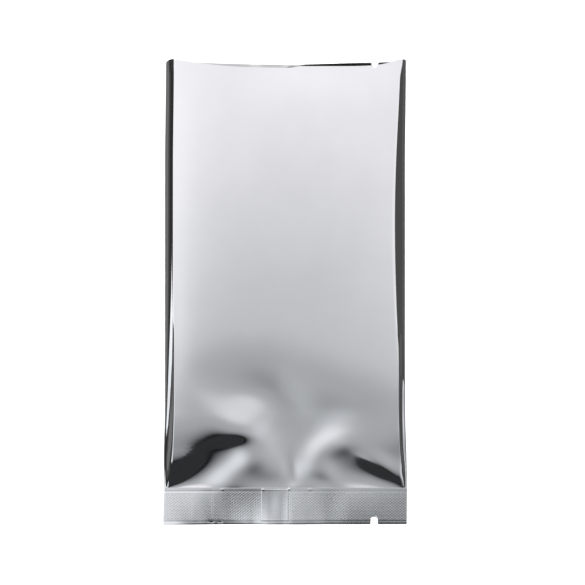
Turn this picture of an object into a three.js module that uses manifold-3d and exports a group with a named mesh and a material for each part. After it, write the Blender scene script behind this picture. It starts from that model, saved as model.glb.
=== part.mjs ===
// An empty metallized film bag, lying on its back with its open mouth toward +Y.
// One web of film is folded into a flat tube, joined along the back by a fin seal and
// shut at the bottom by a straight seal band. Tear notches are cut in both ends.
// Millimetres, +Z up; the origin is on the table under the middle of the bag.
import * as THREE from 'three';
import { mergeVertices } from 'three/addons/utils/BufferGeometryUtils.js';
import Module from 'manifold-3d';

// ---- Driving dimensions ----

const bagLength = 164.2; // bottom edge to the corners of the mouth
const bandDepth = 12.8; // bottom seal band, across the whole width
const bandHalfWidth = 43.1; // half the width where the film is pressed flat
const tubeHalfWidth = 42.45; // half the width of the slightly opened tube
const filmThickness = 0.3; // modelled film, thicker than the real one
const slitHeight = 0.1; // how far the two films part just above the seal band

const sideHeight = 3; // height of the folded sides and of the seal over the table
const bandDroop = 0.6; // how much lower the free edge of the band hangs
const frontRise = 2.7; // rise of the front film from the side folds to its flat
const seamRise = 0.35; // part of that rise which the film makes at once above the band
const seamReach = 1.5; // and how far up the bag this takes
const frontOpening = 27.5; // length over which the front film opens from the band
const backOpening = 22; // length over which the back film sinks to the table
const widthOpening = 34; // length over which the width shrinks to that of the tube
const rollOpening = 14; // length over which the side folds become round

const domeRise = 1.5; // crown of the front film along the middle of the bag
const domeCentre = 52;
const domeReach = 57;
const domeSquareness = 2.2; // above 2 the crown is flatter in the middle

const leftRoll = 2.4; // width of the rounding beside the left fold
const rightRoll = 2.2; // the same on the right, which is wider along the middle
const rightRollSwell = 2.8;
const rightRollCentre = 20;
const rightRollReach = 42;
const bandRollShare = 0.15; // share of the rounding that is left at the band
const leftBevelSlope = 0.2; // the front film leans a little beside the left fold
const leftBevelWidth = 3.2;
const leftBevelReturn = 38; // and comes back over this width

const finWidth = 10; // back fin, two films sealed face to face and folded flat
const finRoot = 1.8; // where the fin leaves the back wall
const finGap = 0.25; // clearance between the fin and the wall that it lies against
const finLanding = 12; // length over which the fin comes down from the band
const finBlend = 5.4; // width over which the back wall comes down beside the fin

const mouthCorner = 39.3; // how far from the middle the edge of the mouth is at full height
const leftRecess = 3.1; // how far the front edge of the mouth is set back on the left
const rightRecess = 2.5;
const recessBlend = 6; // width over which the right part takes over from the left
const leftSquareness = 2.5; // above 2 the edge is straighter and turns near the corner
const rightSquareness = 8;
const backRecess = 1.25;
const backSquareness = 1.2;
const mouthZone = 22; // length over which the rows bend to follow the mouth

const notchCentre = 31.6; // tear notches, near the right side
const bandNotchWidth = 2.6;
const bandNotchDepth = 2.6;
const bandNotchRounding = 0.7;
const mouthNotchTip = 3; // depth of the V below the corners of the mouth
const mouthNotchWidth = 3;

const halfLength = bagLength / 2;
const seamLine = bandDepth - halfLength;

// Soft folds of the front film, most of them pressed in by the seal band: the place of
// each one's middle, half its length and width, its turn from the X axis in degrees, its
// height.
const frontFolds = {
  leftHump: { x: -11.1, y: -42.3, long: 5, wide: 7.9, turn: 78, rise: 1.5 },
  leftShoulder: { x: -37.8, y: -67, long: 16, wide: 7.8, turn: -7, rise: 2 },
  leftHollow: { x: -36.2, y: -72, long: 14, wide: 7.9, turn: 44, rise: -2.75 },
  leftRib: { x: -14.5, y: -52.8, long: 15, wide: 4.5, turn: -42, rise: 0.6 },
  leftCrest: { x: -12.5, y: -59.5, long: 10, wide: 3, turn: 35, rise: 0.3 },
  middleValley: { x: -8.8, y: -43.8, long: 12.5, wide: 9, turn: -14, rise: -2.8 },
  middlePinch: { x: 2, y: -63, long: 4, wide: 2, turn: 100, rise: -0.2 },
  seamDip: { x: -8, y: -70, long: 16, wide: 4, turn: 10, rise: -0.6 },
  rightHump: { x: 33.7, y: -54.2, long: 10.2, wide: 5.2, turn: -5, rise: 1.4 },
  rightEdge: { x: 34.6, y: -60.3, long: 9, wide: 2.2, turn: -33, rise: 0.2 },
  rightShoulder: { x: 37, y: -62.3, long: 13.7, wide: 4.9, turn: -11, rise: 1.85 },
  rightHollow: { x: 27.2, y: -55, long: 16, wide: 8.7, turn: -23, rise: -2.8 },
  rightSlope: { x: 22.2, y: -54.5, long: 6.3, wide: 9, turn: -26, rise: 0.5 },
  rightRib: { x: 13.5, y: -64, long: 4, wide: 3, turn: -30, rise: 0.5 },
  rightDip: { x: 14, y: -70, long: 6, wide: 2, turn: -70, rise: -0.2 },
  mouthSag: { x: 8, y: 82, long: 17, wide: 6, turn: 0, rise: -0.5 },
};

// Ridges that curl round above the hollows: the centre and reach of each one's oval, its
// height, its width outside and inside the oval, and the middle and half the spread of
// its arc in degrees.
const frontCurls = {
  leftCurl: {
    x: -16.5, y: -60.6, reachX: 13.6, reachY: 11.8, rise: 0.75,
    outer: 4.2, inner: 3.4, toward: 74, spread: 26,
  },
  rightCurl: {
    x: 24, y: -69.5, reachX: 16.4, reachY: 17.9, rise: 0.6,
    outer: 3.8, inner: 3.4, toward: 115, spread: 35,
  },
};

// Creases that rise into the bag from the back film's lower corners.
const backFolds = {
  leftCrease: { x: -22, y: -60, long: 10, wide: 3.5, turn: 35, rise: 0.5 },
  rightCrease: { x: 24, y: -60, long: 10, wide: 3.5, turn: -35, rise: 0.5 },
};
const nestReach = 3; // up to about here the back film lies in the hollows of the front
const foldFade = 3; // width over which the folds die out toward the sides

// Mesh density.
const rollSteps = 4;
const frontSteps = 36;
const backSteps = 9;
const finSteps = 3;
const bandRows = 2;
const foldRows = 21;
const foldZone = 36;
const foldCrowding = 1.25; // above 1 the rows crowd toward the seam line
const plainRows = 8;
const mouthRows = 5;

// ---- Shape of the film ----

function ease(t) {
  const s = Math.min(Math.max(t, 0), 1);
  return s * s * s * (s * (6 * s - 15) + 10);
}

function gentle(t) {
  const s = Math.min(Math.max(t, 0), 1);
  return s * s * (3 - 2 * s);
}

function bell(t) {
  return Math.exp(-t * t);
}

function aboveSeam(y) {
  return Math.max(y - seamLine, 0);
}

function halfWidth(y) {
  return bandHalfWidth - (bandHalfWidth - tubeHalfWidth) * ease(aboveSeam(y) / widthOpening);
}

function rollWidth(side, y) {
  const swell = rightRollSwell * bell((y - rightRollCentre) / rightRollReach);
  const full = side < 0 ? leftRoll : rightRoll + swell;
  return full * (bandRollShare + (1 - bandRollShare) * ease(aboveSeam(y) / rollOpening));
}

function insetRoll(side, y, inset) {
  return Math.max(rollWidth(side, y) - inset, slitHeight);
}

// The rounding beside a side fold: 0 on the fold, 1 where the flat begins. The inset
// moves it inward by the film's thickness, for the inner face.
function sideRounding(x, y, inset) {
  const fromFold = halfWidth(y) - inset - Math.abs(x);
  const part = Math.min(Math.max(fromFold / insetRoll(x, y, inset), 0), 1);
  return Math.sqrt(1 - (1 - part) ** 2);
}

function leftBevel(x, y) {
  const fromFold = x < 0 ? Math.max(halfWidth(y) + x, 0) : 0;
  const lean = Math.min(fromFold, leftBevelWidth);
  const back = leftBevelWidth * gentle((fromFold - leftBevelWidth) / leftBevelReturn);
  return leftBevelSlope * (lean - back) * ease(aboveSeam(y) / rollOpening);
}

function foldHeight(folds, x, y) {
  let height = 0;
  for (const fold of Object.values(folds)) {
    const turn = THREE.MathUtils.degToRad(fold.turn);
    const along = (x - fold.x) * Math.cos(turn) + (y - fold.y) * Math.sin(turn);
    const across = (y - fold.y) * Math.cos(turn) - (x - fold.x) * Math.sin(turn);
    height += fold.rise * Math.exp(-((along / fold.long) ** 2 + (across / fold.wide) ** 2) / 2);
  }
  return height;
}

function curlHeight(x, y) {
  let height = 0;
  for (const curl of Object.values(frontCurls)) {
    const across = (x - curl.x) / curl.reachX;
    const along = (y - curl.y) / curl.reachY;
    const beyond = (Math.hypot(across, along) - 1) * (curl.reachX + curl.reachY) / 2;
    const width = beyond > 0 ? curl.outer : curl.inner;
    const toward = THREE.MathUtils.radToDeg(Math.atan2(along, across)) - curl.toward;
    const turned = THREE.MathUtils.euclideanModulo(toward + 180, 360) - 180;
    const drop = (beyond / width) ** 2 + (turned / curl.spread) ** 2;
    height += curl.rise * Math.exp(-drop / 2);
  }
  return height;
}

// The folds die out toward the sides and the seam.
function foldsLeft(x, y) {
  const fade = ease((halfWidth(y) - Math.abs(x)) / foldFade);
  return fade * (1 - Math.exp(-aboveSeam(y) / seamReach));
}

function frontRelief(x, y) {
  return (foldHeight(frontFolds, x, y) + curlHeight(x, y)) * foldsLeft(x, y);
}

// Height of the surface in which the front and back films meet.
function middleHeight(y) {
  return sideHeight - bandDroop * Math.max(seamLine - y, 0) / bandDepth;
}

function frontHeight(x, y, inset) {
  const opening = ease(aboveSeam(y) / frontOpening);
  const seam = seamRise * (1 - Math.exp(-aboveSeam(y) / seamReach));
  const rise = filmThickness + frontRise * opening + seam;
  const crown = 1 - Math.abs(x / halfWidth(y)) ** domeSquareness;
  const dome = domeRise * opening * bell((y - domeCentre) / domeReach) * Math.max(crown, 0);
  const edge = Math.max(rise - inset, slitHeight / 2) * sideRounding(x, y, inset);
  return middleHeight(y) + edge + leftBevel(x, y) + dome + frontRelief(x, y);
}

function backHeight(x, y, inset) {
  const left = 1 - Math.min(aboveSeam(y) / backOpening, 1);
  const sink = filmThickness + (sideHeight - filmThickness) * (1 - left * left);
  const edge = Math.max(sink - inset, slitHeight / 2) * sideRounding(x, y, inset);
  const floor = middleHeight(y) - edge;
  const creases = foldHeight(backFolds, x, y) * foldsLeft(x, y);
  const nested = Math.min(frontRelief(x, y), 0) * Math.exp(-aboveSeam(y) / nestReach);
  return floor + left * (creases + nested);
}

// ---- The fin on the back ----

const finTop = 2 * filmThickness;
const finDrop = finTop + finGap; // room that the fin takes under the back wall
const finEdge = finRoot - finWidth;
const bendInside = finRoot - 2 * filmThickness; // where the wall starts to turn under
const bendTip = finRoot - 1.5 * filmThickness; // inner corner of that turn

// How far the back wall is lifted over the fin. On the band it isn't, and the fin hangs
// below it.
function finLift(y) {
  return finDrop * ease(aboveSeam(y) / finLanding);
}

function overFinHeight(x, y, inset) {
  const beyondEdge = (finEdge - x) / finBlend;
  return backHeight(x, y, inset) + finLift(y) * (1 - ease(beyondEdge));
}

function besideFinHeight(x, y, inset) {
  const beyondRoot = (x - finRoot) / finBlend;
  const open = inset > 0 ? ease(aboveSeam(y) / seamReach) : 1;
  return backHeight(x, y, inset) - (finDrop - finLift(y)) * (1 - ease(beyondRoot)) * open;
}

function finUnderside(y) {
  return backHeight(0, y, 0) - finDrop + finLift(y);
}

// ---- Cross-sections, as closed loops of [x, z] seen along +Y ----

// Places across the flat between two roundings, with the given number of steps.
function evenly(from, to, steps) {
  return Array.from({ length: steps + 1 }, (_, k) => from + (to - from) * k / steps);
}

// Places across one rounding, from the fold inward, even in angle.
function roundingPlaces(side, y, inset) {
  const width = insetRoll(side, y, inset);
  return Array.from({ length: rollSteps }, (_, k) => {
    const angle = k / rollSteps * Math.PI / 2;
    return side * (halfWidth(y) - inset - width * (1 - Math.cos(angle)));
  });
}

function flatEdge(side, y, inset) {
  return side * (halfWidth(y) - inset - insetRoll(side, y, inset));
}

function frontPlaces(y, inset) {
  return [
    ...roundingPlaces(-1, y, inset),
    ...evenly(flatEdge(-1, y, inset), flatEdge(1, y, inset), frontSteps),
    ...roundingPlaces(1, y, inset).reverse(),
  ];
}

function frontPoints(y, inset) {
  return frontPlaces(y, inset).map((x) => ({ x, z: frontHeight(x, y, inset), front: true }));
}

function backRightPoints(y, inset, end) {
  const places = [
    ...roundingPlaces(1, y, inset).slice(1),
    ...evenly(flatEdge(1, y, inset), end, backSteps),
  ];
  return places.map((x) => ({ x, z: besideFinHeight(x, y, inset) }));
}

function backLeftPoints(y, inset) {
  const places = [
    ...evenly(bendInside, flatEdge(-1, y, inset), backSteps),
    ...roundingPlaces(-1, y, inset).slice(1).reverse(),
  ];
  return places.map((x) => ({ x, z: overFinHeight(x, y, inset) }));
}

function finPoints(y) {
  const under = finUnderside(y);
  const bottom = evenly(finRoot, finEdge, finSteps).map((x) => ({ x, z: under }));
  const top = evenly(finEdge, bendInside, finSteps).map((x) => ({ x, z: under + finTop }));
  return [...bottom, ...top, { x: bendTip, z: under + finTop + finGap / 2 }];
}

function outerLoop(y) {
  const beside = finRoot + finBlend / 2;
  return [...frontPoints(y, 0), ...backRightPoints(y, 0, beside), ...finPoints(y),
    ...backLeftPoints(y, 0)];
}

function innerLoop(y) {
  const beside = finRoot + finTop + filmThickness;
  return [...frontPoints(y, filmThickness), ...backRightPoints(y, filmThickness, beside),
    ...backLeftPoints(y, filmThickness)];
}

// ---- The shell ----

// How far the front edge of the mouth is set back at x.
function frontRecess(x) {
  const part = Math.min(Math.abs(x / mouthCorner), 1);
  const left = leftRecess * (1 - part ** leftSquareness);
  const right = rightRecess * (1 - part ** rightSquareness);
  return left + (right - left) * ease(x / recessBlend);
}

function backEdgeRecess(x) {
  const part = Math.min(Math.abs(x / tubeHalfWidth), 1);
  return backRecess * (1 - part ** backSquareness);
}

// The rows bend to follow the mouth's edge.
function rowPosition(point, y) {
  const share = Math.max(y - (halfLength - mouthZone), 0) / mouthZone;
  return y - share * (point.front ? frontRecess(point.x) : backEdgeRecess(point.x));
}

function bandPlaces() {
  return evenly(-halfLength, seamLine, bandRows).slice(0, -1);
}

function tubePlaces() {
  const folds = evenly(0, 1, foldRows).map((t) => seamLine + foldZone * t ** foldCrowding);
  const plain = evenly(seamLine + foldZone, halfLength - mouthZone, plainRows).slice(1);
  const mouth = evenly(halfLength - mouthZone, halfLength, mouthRows).slice(1);
  return [...folds, ...plain, ...mouth];
}

const corners = [];
const faces = [];

// Adds a loop of points at one row and gives back its corner numbers.
function addLoop(points, y) {
  return points.map((point) => {
    corners.push(point.x, rowPosition(point, y), point.z);
    return corners.length / 3 - 1;
  });
}

// Joins each loop to the next. The outer face looks outward, the inner face inward.
function addWall(loops, inward) {
  for (let row = 0; row + 1 < loops.length; row += 1) {
    const near = loops[row];
    const far = loops[row + 1];
    near.forEach((corner, k) => {
      const next = (k + 1) % near.length;
      const a = inward ? near[next] : corner;
      const b = inward ? corner : near[next];
      const c = inward ? far[k] : far[next];
      const d = inward ? far[next] : far[k];
      faces.push(a, b, c, a, c, d);
    });
  }
}

// Fills a loop, less an inner one, with faces that look along +Y or -Y.
function addCap(outer, inner, towardMouth) {
  const flat = (loop) => loop.map((k) => new THREE.Vector2(corners[3 * k], corners[3 * k + 2]));
  const holes = inner.length > 0 ? [flat(inner)] : [];
  const ring = [...outer, ...inner];
  for (const [i, j, k] of THREE.ShapeUtils.triangulateShape(flat(outer), holes)) {
    const [a, b, c] = flat([ring[i], ring[j], ring[k]]);
    const looksToMouth = b.sub(a).cross(c.sub(a)) < 0;
    const turned = looksToMouth !== towardMouth;
    faces.push(ring[i], turned ? ring[k] : ring[j], turned ? ring[j] : ring[k]);
  }
}

function shellGeometry() {
  const outside = [...bandPlaces(), ...tubePlaces()].map((y) => addLoop(outerLoop(y), y));
  const inside = tubePlaces().map((y) => addLoop(innerLoop(y), y));
  addWall(outside, false);
  addWall(inside, true);
  addCap(outside[0], [], false);
  addCap(inside[0], [], true);
  addCap(outside.at(-1), inside.at(-1), true);
  const geometry = new THREE.BufferGeometry();
  geometry.setAttribute('position', new THREE.Float32BufferAttribute(corners, 3));
  geometry.setIndex(faces);
  return geometry;
}

// ---- Tear notches, cut through both films ----

const cutHeight = 12; // taller than the bag is thick
const cutOverrun = 2; // how far a cutter reaches past the film's edge

function cutterGeometry(outline) {
  const settings = { depth: cutHeight, bevelEnabled: false, curveSegments: 3 };
  const geometry = new THREE.ExtrudeGeometry(outline, settings);
  geometry.translate(0, 0, -1);
  return geometry;
}

// A slot with rounded corners.
function bandNotch() {
  const half = bandNotchWidth / 2;
  const side = half - bandNotchRounding;
  const roundCentre = bandNotchDepth - bandNotchRounding - halfLength;
  const outline = new THREE.Shape();
  outline.moveTo(notchCentre - half, -halfLength - cutOverrun);
  outline.lineTo(notchCentre + half, -halfLength - cutOverrun);
  outline.absarc(notchCentre + side, roundCentre, bandNotchRounding, 0, Math.PI / 2);
  outline.absarc(notchCentre - side, roundCentre, bandNotchRounding, Math.PI / 2, Math.PI);
  outline.closePath();
  return cutterGeometry(outline);
}

// The V is steep on its left and slants on its right.
function mouthNotch() {
  const half = mouthNotchWidth / 2;
  const tip = halfLength - mouthNotchTip;
  const outline = new THREE.Shape();
  outline.moveTo(notchCentre - half, halfLength + cutOverrun);
  outline.lineTo(notchCentre - half / 3, tip);
  outline.lineTo(notchCentre + half, tip + mouthNotchTip / 2);
  outline.lineTo(notchCentre + half, halfLength + cutOverrun);
  outline.closePath();
  return cutterGeometry(outline);
}

const wasm = await Module();
wasm.setup();

function solidFrom(geometry) {
  geometry.deleteAttribute('normal');
  geometry.deleteAttribute('uv');
  const merged = mergeVertices(geometry);
  return new wasm.Manifold(new wasm.Mesh({
    numProp: 3,
    vertProperties: Float32Array.from(merged.attributes.position.array),
    triVerts: Uint32Array.from(merged.index.array),
  }));
}

function geometryFrom(solid) {
  const mesh = solid.getMesh();
  const geometry = new THREE.BufferGeometry();
  geometry.setAttribute('position', new THREE.BufferAttribute(mesh.vertProperties, 3));
  geometry.setIndex(new THREE.BufferAttribute(mesh.triVerts, 1));
  geometry.computeVertexNormals();
  return geometry;
}

const silverFilm = new THREE.MeshStandardMaterial({
  color: 0xd5d7dc,
  roughness: 0.15,
  metalness: 1,
});

const shell = solidFrom(shellGeometry());
const notched = shell.subtract(solidFrom(bandNotch())).subtract(solidFrom(mouthNotch()));

const bag = new THREE.Mesh(geometryFrom(notched), silverFilm);
bag.name = 'bag';

const product = new THREE.Group();
product.add(bag);

export default product;
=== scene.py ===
"""An empty metallized film bag, lying on its back with its open mouth toward +Y."""
import math

import bpy
import numpy as np
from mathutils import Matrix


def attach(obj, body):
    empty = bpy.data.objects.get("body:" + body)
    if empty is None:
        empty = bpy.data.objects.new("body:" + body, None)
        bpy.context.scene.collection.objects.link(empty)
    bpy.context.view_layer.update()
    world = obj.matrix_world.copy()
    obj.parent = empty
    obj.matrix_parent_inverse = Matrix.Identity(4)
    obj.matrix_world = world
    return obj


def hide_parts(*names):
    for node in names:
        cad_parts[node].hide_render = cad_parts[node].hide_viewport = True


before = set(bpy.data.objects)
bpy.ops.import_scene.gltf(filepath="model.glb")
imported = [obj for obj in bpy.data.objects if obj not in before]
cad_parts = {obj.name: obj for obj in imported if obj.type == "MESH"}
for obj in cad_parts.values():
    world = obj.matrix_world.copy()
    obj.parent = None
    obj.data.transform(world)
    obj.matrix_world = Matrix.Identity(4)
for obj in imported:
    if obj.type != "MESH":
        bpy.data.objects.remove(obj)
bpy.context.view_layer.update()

MM = 0.001  # sizes below are in millimetres, and meshes are made in metres

# ---- Driving dimensions, as in the part's source ----

BAG_LENGTH = 164.2  # bottom edge to the corners of the mouth
BAND_DEPTH = 12.8  # bottom seal band
BAND_HALF_WIDTH = 43.1
TUBE_HALF_WIDTH = 42.45
SIDE_HEIGHT = 3.0  # height of the folded sides and of the seal over the table
FRONT_RISE = 2.7  # rise of the front film from the side folds to its flat
SEAM_RISE = 0.35  # part of it that the film makes at once above the band
SEAM_REACH = 1.5  # and how far up the bag this takes
FRONT_OPENING = 27.5  # lengths above the band over which the bag takes its full shape
BACK_OPENING = 22.0
WIDTH_OPENING = 34.0
ROLL_OPENING = 14.0
DOME_RISE = 1.5  # crown of the front film along the middle of the bag
DOME_CENTRE = 52.0
DOME_REACH = 57.0
DOME_SQUARENESS = 2.2
LEFT_ROLL = 2.4  # width of the rounding beside the left fold
RIGHT_ROLL = 2.2
RIGHT_ROLL_SWELL = 2.8
RIGHT_ROLL_CENTRE = 20.0
RIGHT_ROLL_REACH = 42.0
BAND_ROLL_SHARE = 0.15  # share of the rounding that is left at the band
LEFT_BEVEL_SLOPE = 0.2  # the front film leans a little beside the left fold
LEFT_BEVEL_WIDTH = 3.2
LEFT_BEVEL_RETURN = 38.0  # and comes back over this width
FIN_WIDTH = 10.0
FIN_ROOT = 1.8  # where the fin leaves the back wall
FIN_LANDING = 12.0  # length over which the fin comes down from the band
FIN_BLEND = 5.4  # width over which the back wall comes down beside the fin
MOUTH_CORNER = 39.3  # how far from the middle the mouth's edge is at full height
LEFT_RECESS = 3.1  # how far the front film's edge is set back
RIGHT_RECESS = 2.5
RECESS_BLEND = 6.0
LEFT_SQUARENESS = 2.5  # above 2 the edge is straighter and turns near the corner
RIGHT_SQUARENESS = 8.0
BACK_RECESS = 1.25
BACK_SQUARENESS = 1.2
MOUTH_ZONE = 22.0  # length over which the rows bend to follow the mouth
NOTCH_CENTRE = 31.6
BAND_NOTCH_WIDTH = 2.6
BAND_NOTCH_DEPTH = 2.6
BAND_NOTCH_ROUNDING = 0.7
MOUTH_NOTCH_TIP = 3.0  # depth of the V below the corners of the mouth
MOUTH_NOTCH_WIDTH = 3.0
FOLD_FADE = 3.0  # width over which the folds die out beside a side fold

HALF_LENGTH = BAG_LENGTH / 2
SEAM_LINE = BAND_DEPTH - HALF_LENGTH

# Soft folds above the seal: middle x and y, half length, half width, turn in degrees, rise.
FRONT_FOLDS = {
    "left_hump": (-11.1, -42.3, 5, 7.9, 78, 1.5),
    "left_shoulder": (-37.8, -67, 16, 7.8, -7, 2),
    "left_hollow": (-36.2, -72, 14, 7.9, 44, -2.75),
    "left_rib": (-14.5, -52.8, 15, 4.5, -42, 0.6),
    "left_crest": (-12.5, -59.5, 10, 3, 35, 0.3),
    "middle_valley": (-8.8, -43.8, 12.5, 9, -14, -2.8),
    "middle_pinch": (2, -63, 4, 2, 100, -0.2),
    "seam_dip": (-8, -70, 16, 4, 10, -0.6),
    "right_hump": (33.7, -54.2, 10.2, 5.2, -5, 1.4),
    "right_edge": (34.6, -60.3, 9, 2.2, -33, 0.2),
    "right_shoulder": (37, -62.3, 13.7, 4.9, -11, 1.85),
    "right_hollow": (27.2, -55, 16, 8.7, -23, -2.8),
    "right_slope": (22.2, -54.5, 6.3, 9, -26, 0.5),
    "right_rib": (13.5, -64, 4, 3, -30, 0.5),
    "right_dip": (14, -70, 6, 2, -70, -0.2),
    "mouth_sag": (8, 82, 17, 6, 0, -0.5),
}
# Ridges that curl round above the hollows: centre x and y, reach along X and Y, rise,
# outer and inner width, middle direction and half spread in degrees.
FRONT_CURLS = {
    "left_curl": (-16.5, -60.6, 13.6, 11.8, 0.75, 4.2, 3.4, 74, 26),
    "right_curl": (24, -69.5, 16.4, 17.9, 0.6, 3.8, 3.4, 115, 35),
}
BACK_FOLDS = {
    "left_crease": (-22, -60, 10, 3.5, 35, 0.5),
    "right_crease": (24, -60, 10, 3.5, -35, 0.5),
}
NEST_REACH = 3.0  # up to about here the back film lies in the hollows of the front

# ---- Finer than the part's source ----

FILM = 0.2  # thickness of one film
FIN_GAP = 0.1  # clearance between the fin and the wall that it lies against
SLIT = 0.06  # how far the films part just above the band
FIN_TOP = 2 * FILM  # the fin is two films thick
FIN_DROP = FIN_TOP + FIN_GAP  # from the wall down to its lower face
FIN_EDGE = FIN_ROOT - FIN_WIDTH
BEND_INSIDE = FIN_ROOT - 2 * FILM  # where the wall over the fin starts, inside the bend
BEND_TIP = FIN_ROOT - 1.5 * FILM  # where the gap over the fin ends

# Shallow creases, given as the soft folds are, that only the film's mirror shows.
FINE_FOLDS = {
    "left_corner": (-38, -61, 5, 2.5, 70, 0.25),
    "left_side": (-40.5, -16, 20, 4, 90, -0.16),
    "right_corner": (39, -61.8, 4, 3, -45, -0.2),
    "right_crest": (31.5, -60.4, 6, 2, -30, 0.17),
}

# Low on the bag each side is folded in two steps: a fold at the very edge, a narrow
# ledge that lies nearly level, and a ramp up to the front film.
LEFT_FOLD_OPENING = 75.0  # length over which the fold at the edge grows to its full width
LEFT_FOLD_SHARE = 0.1  # share of that width at the seam
LEFT_LEDGE = 0.7  # share of the rise that is in the ramp
LEFT_LEDGE_LEVEL = 12.0  # the ledge is whole up to here above the seam
LEFT_LEDGE_FADE = 50.0  # and is gone this much higher
RIGHT_LEDGE = 0.75
RIGHT_LEDGE_LEVEL = 30.0
RIGHT_LEDGE_FADE = 35.0
RIGHT_FOLD = 0.35
# Where the ramps start and end, inward of the fold, at the seam and CORNER_RISE above it.
LEFT_SEAM_RAMP = (0.25, 1.3)
LEFT_RAMP = (0.9, 3.4)
RIGHT_SEAM_RAMP = (0.4, 1.1)
RIGHT_RAMP = (1.0, 2.4)
CORNER_RISE = 16.0
RAMP_DRIFT = 2.2  # the left ledge grows wider by this much farther up
RAMP_DRIFT_FROM = 8.0
RAMP_DRIFT_LENGTH = 48.0
LEAST_RAMP = 0.2  # width that is left of the ramp at least
LEDGE_MARGIN = 0.4  # the close mesh steps reach this far past the ramps

# The sides aren't quite straight.
MOUTH_SHIFT = 0.35  # both bend a little to the right toward the mouth
MOUTH_SHIFT_FROM = 44.0
SEAM_DRAW = 0.45  # and the left one is drawn in at the seam
SEAM_DRAW_REACH = 9.0

# The mouth: the side folds are pressed narrower, and the left corner is cut off a little.
LEFT_MOUTH_PINCH = 0.3
RIGHT_MOUTH_PINCH = 0.4
MOUTH_PINCH_REACH = 7.0
LEFT_CORNER_CUT = 0.8
CORNER_CUT_WIDTH = 2.0
CORNER_CUT_POWER = 6  # high, as only the last rows bend to the cut
# The back film's edge turns up on the right, and over the fin's root.
BACK_LIP_RISE = 0.85
LEFT_BACK_LIP_RISE = 0.12
BACK_LIP_FROM = 79.5
BACK_LIP_REACH = 2.2
BACK_LIP_LEFT = 5.0
BACK_LIP_RIGHT = 36.5
BACK_LIP_FADE = 3.0
ROOT_BUMP = (2.8, 80.4, 1.6, 1.1, 0, 0.6)  # given as the soft folds are

# Fine ripples in the film where the left hollow meets the side, given as the soft folds are.
RIPPLES = (-34.5, -55.5, 3.5, 2.5, 30, 0.005)
RIPPLE_LENGTHS = (0.8, 1.0)  # along X and along Y
RIPPLE_BENDS = (2.3, 1.9)  # how quickly their lines bend
RIPPLE_SWAYS = (1.5, 1.7)  # and how far

# Mesh steps across the bag, and rows along it.
ROLL_STEPS = 12
LEDGE_STEPS = 12
FRONT_STEPS = 150
BACK_STEPS = 34
FIN_STEPS = 6
OUTER_ROWS = {"band": 12, "folds": 116, "plain": 44, "mouth": 34}
INNER_ROWS = {"folds": 40, "plain": 16, "mouth": 24}
FOLD_ZONE = 36.0  # the rows are close together up to here above the seam
MOUTH_CROWDING = 1.6  # and closer and closer toward the mouth

# ---- The seal band ----

KNURL_ACROSS = 1.18  # repeats of the diamonds along X and along Y
KNURL_ALONG = 0.93
KNURL_DEPTH = 0.029
KNURL_WEAR = 0.45  # how much fainter it is where the jaws pressed least
KNURL_WEAR_SCALE = 0.16
KNURL_WEAR_RANGE = (0.5, 0.75)  # of the noise that says where
KNURL_BOTTOM = -80.7  # below it is a smooth lip
KNURL_TOP = -70.45
KNURL_FADE = 0.35  # width over which the diamonds rise to their full height
FIN_PRINT_TOP = -69.75  # the fin shows a little farther up
FIN_PRINT_INSET = 0.8  # and its bend on the right doesn't show
BAND_PLATE_TOP = -69.0
BAND_EDGE = 0.3  # smooth edge beside the knurl at the sides
BAND_OVERHANG = 0.04  # how far the pressed plate reaches past the films
BAND_STEPS = 4  # mesh steps in one repeat of the diamonds
FIN_SWELL = 0.04  # how far the fin presses the band out
FIN_RIDGE = 0.03  # and its edges a little more
FIN_RIDGE_WIDTH = 0.3
# How the lip below the knurl bends: x, and how steeply it rises toward the edge.
LIP_BEND = (
    (-43, 0.16), (-39, 0.14), (-34, 0.0), (-28, -0.03), (-16, -0.07), (-9, -0.02), (-4, 0.02),
    (6, 0.005), (43, 0.01),
)
LIP_WAVE = 0.35  # how unevenly it does so
LIP_WAVE_LENGTHS = (1.9, 5.3)
LIP_WAVE_SHIFT = 1.0
LIP_STEP = 0.03  # the lip lies a little below the knurl, except at the left corner
LIP_STEP_WIDTH = 0.35
LIP_STEP_FROM = -39.0
LIP_STEP_GROWTH = 6.0
HEM_WIDTH = (0.45, 0.7)  # the very edge is pressed down, farther in on the right
HEM_FALL = 0.11  # how steeply it falls on average
HEM_WIDENS_FROM = -16.0
HEM_WIDENING = 8.0
SEAM_GROOVE = (-70.3, 0.3, 0.04)  # place, width and depth of the line above the knurl
GROOVE_LEFT = -27.0  # it is deep up to here and faint beyond
GROOVE_FADE = 6.0
GROOVE_FAINT = 0.2
# How the band bends: x, and how steeply it falls toward the bottom edge, at the seam and
# at the edge. Below 0 it rises.
BAND_BEND = (
    (-43, -0.045, -0.06), (-33, -0.03, 0.045), (-26, 0.035, 0.105), (-19, 0.135, 0.055),
    (-12, 0.145, 0.0), (-5.5, 0.12, -0.06), (-1.5, 0.075, -0.005), (3, 0.025, 0.015),
    (9, 0.05, 0.03), (16, 0.09, 0.07), (23, 0.03, 0.12), (30, 0.05, 0.12), (43, 0.09, 0.1),
)
# Pinched spots along the seam and the lip, given as the soft folds are.
PINCHES = {
    "seam_left": (-22.3, -69.7, 0.45, 0.25, 0, 0.06),
    "fin_left": (-7.8, -69.7, 0.35, 0.25, 0, 0.06),
    "fin_right": (1.4, -69.55, 0.25, 0.25, 0, 0.1),
    "seam_right": (8.8, -69.7, 0.6, 0.25, 0, 0.04),
    "lip_left": (-26.2, -81.0, 0.5, 0.28, 0, -0.28),
    "lip_right": (-23.0, -81.0, 0.4, 0.28, 0, -0.28),
    "notch_top": (31.6, -79.1, 0.3, 0.2, 0, -0.25),
}


# ---- Shape of the film ----

def ease(t):
    """0 below 0, 1 above 1, smooth between."""
    s = np.clip(t, 0, 1)
    return s * s * s * (s * (6 * s - 15) + 10)


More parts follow.
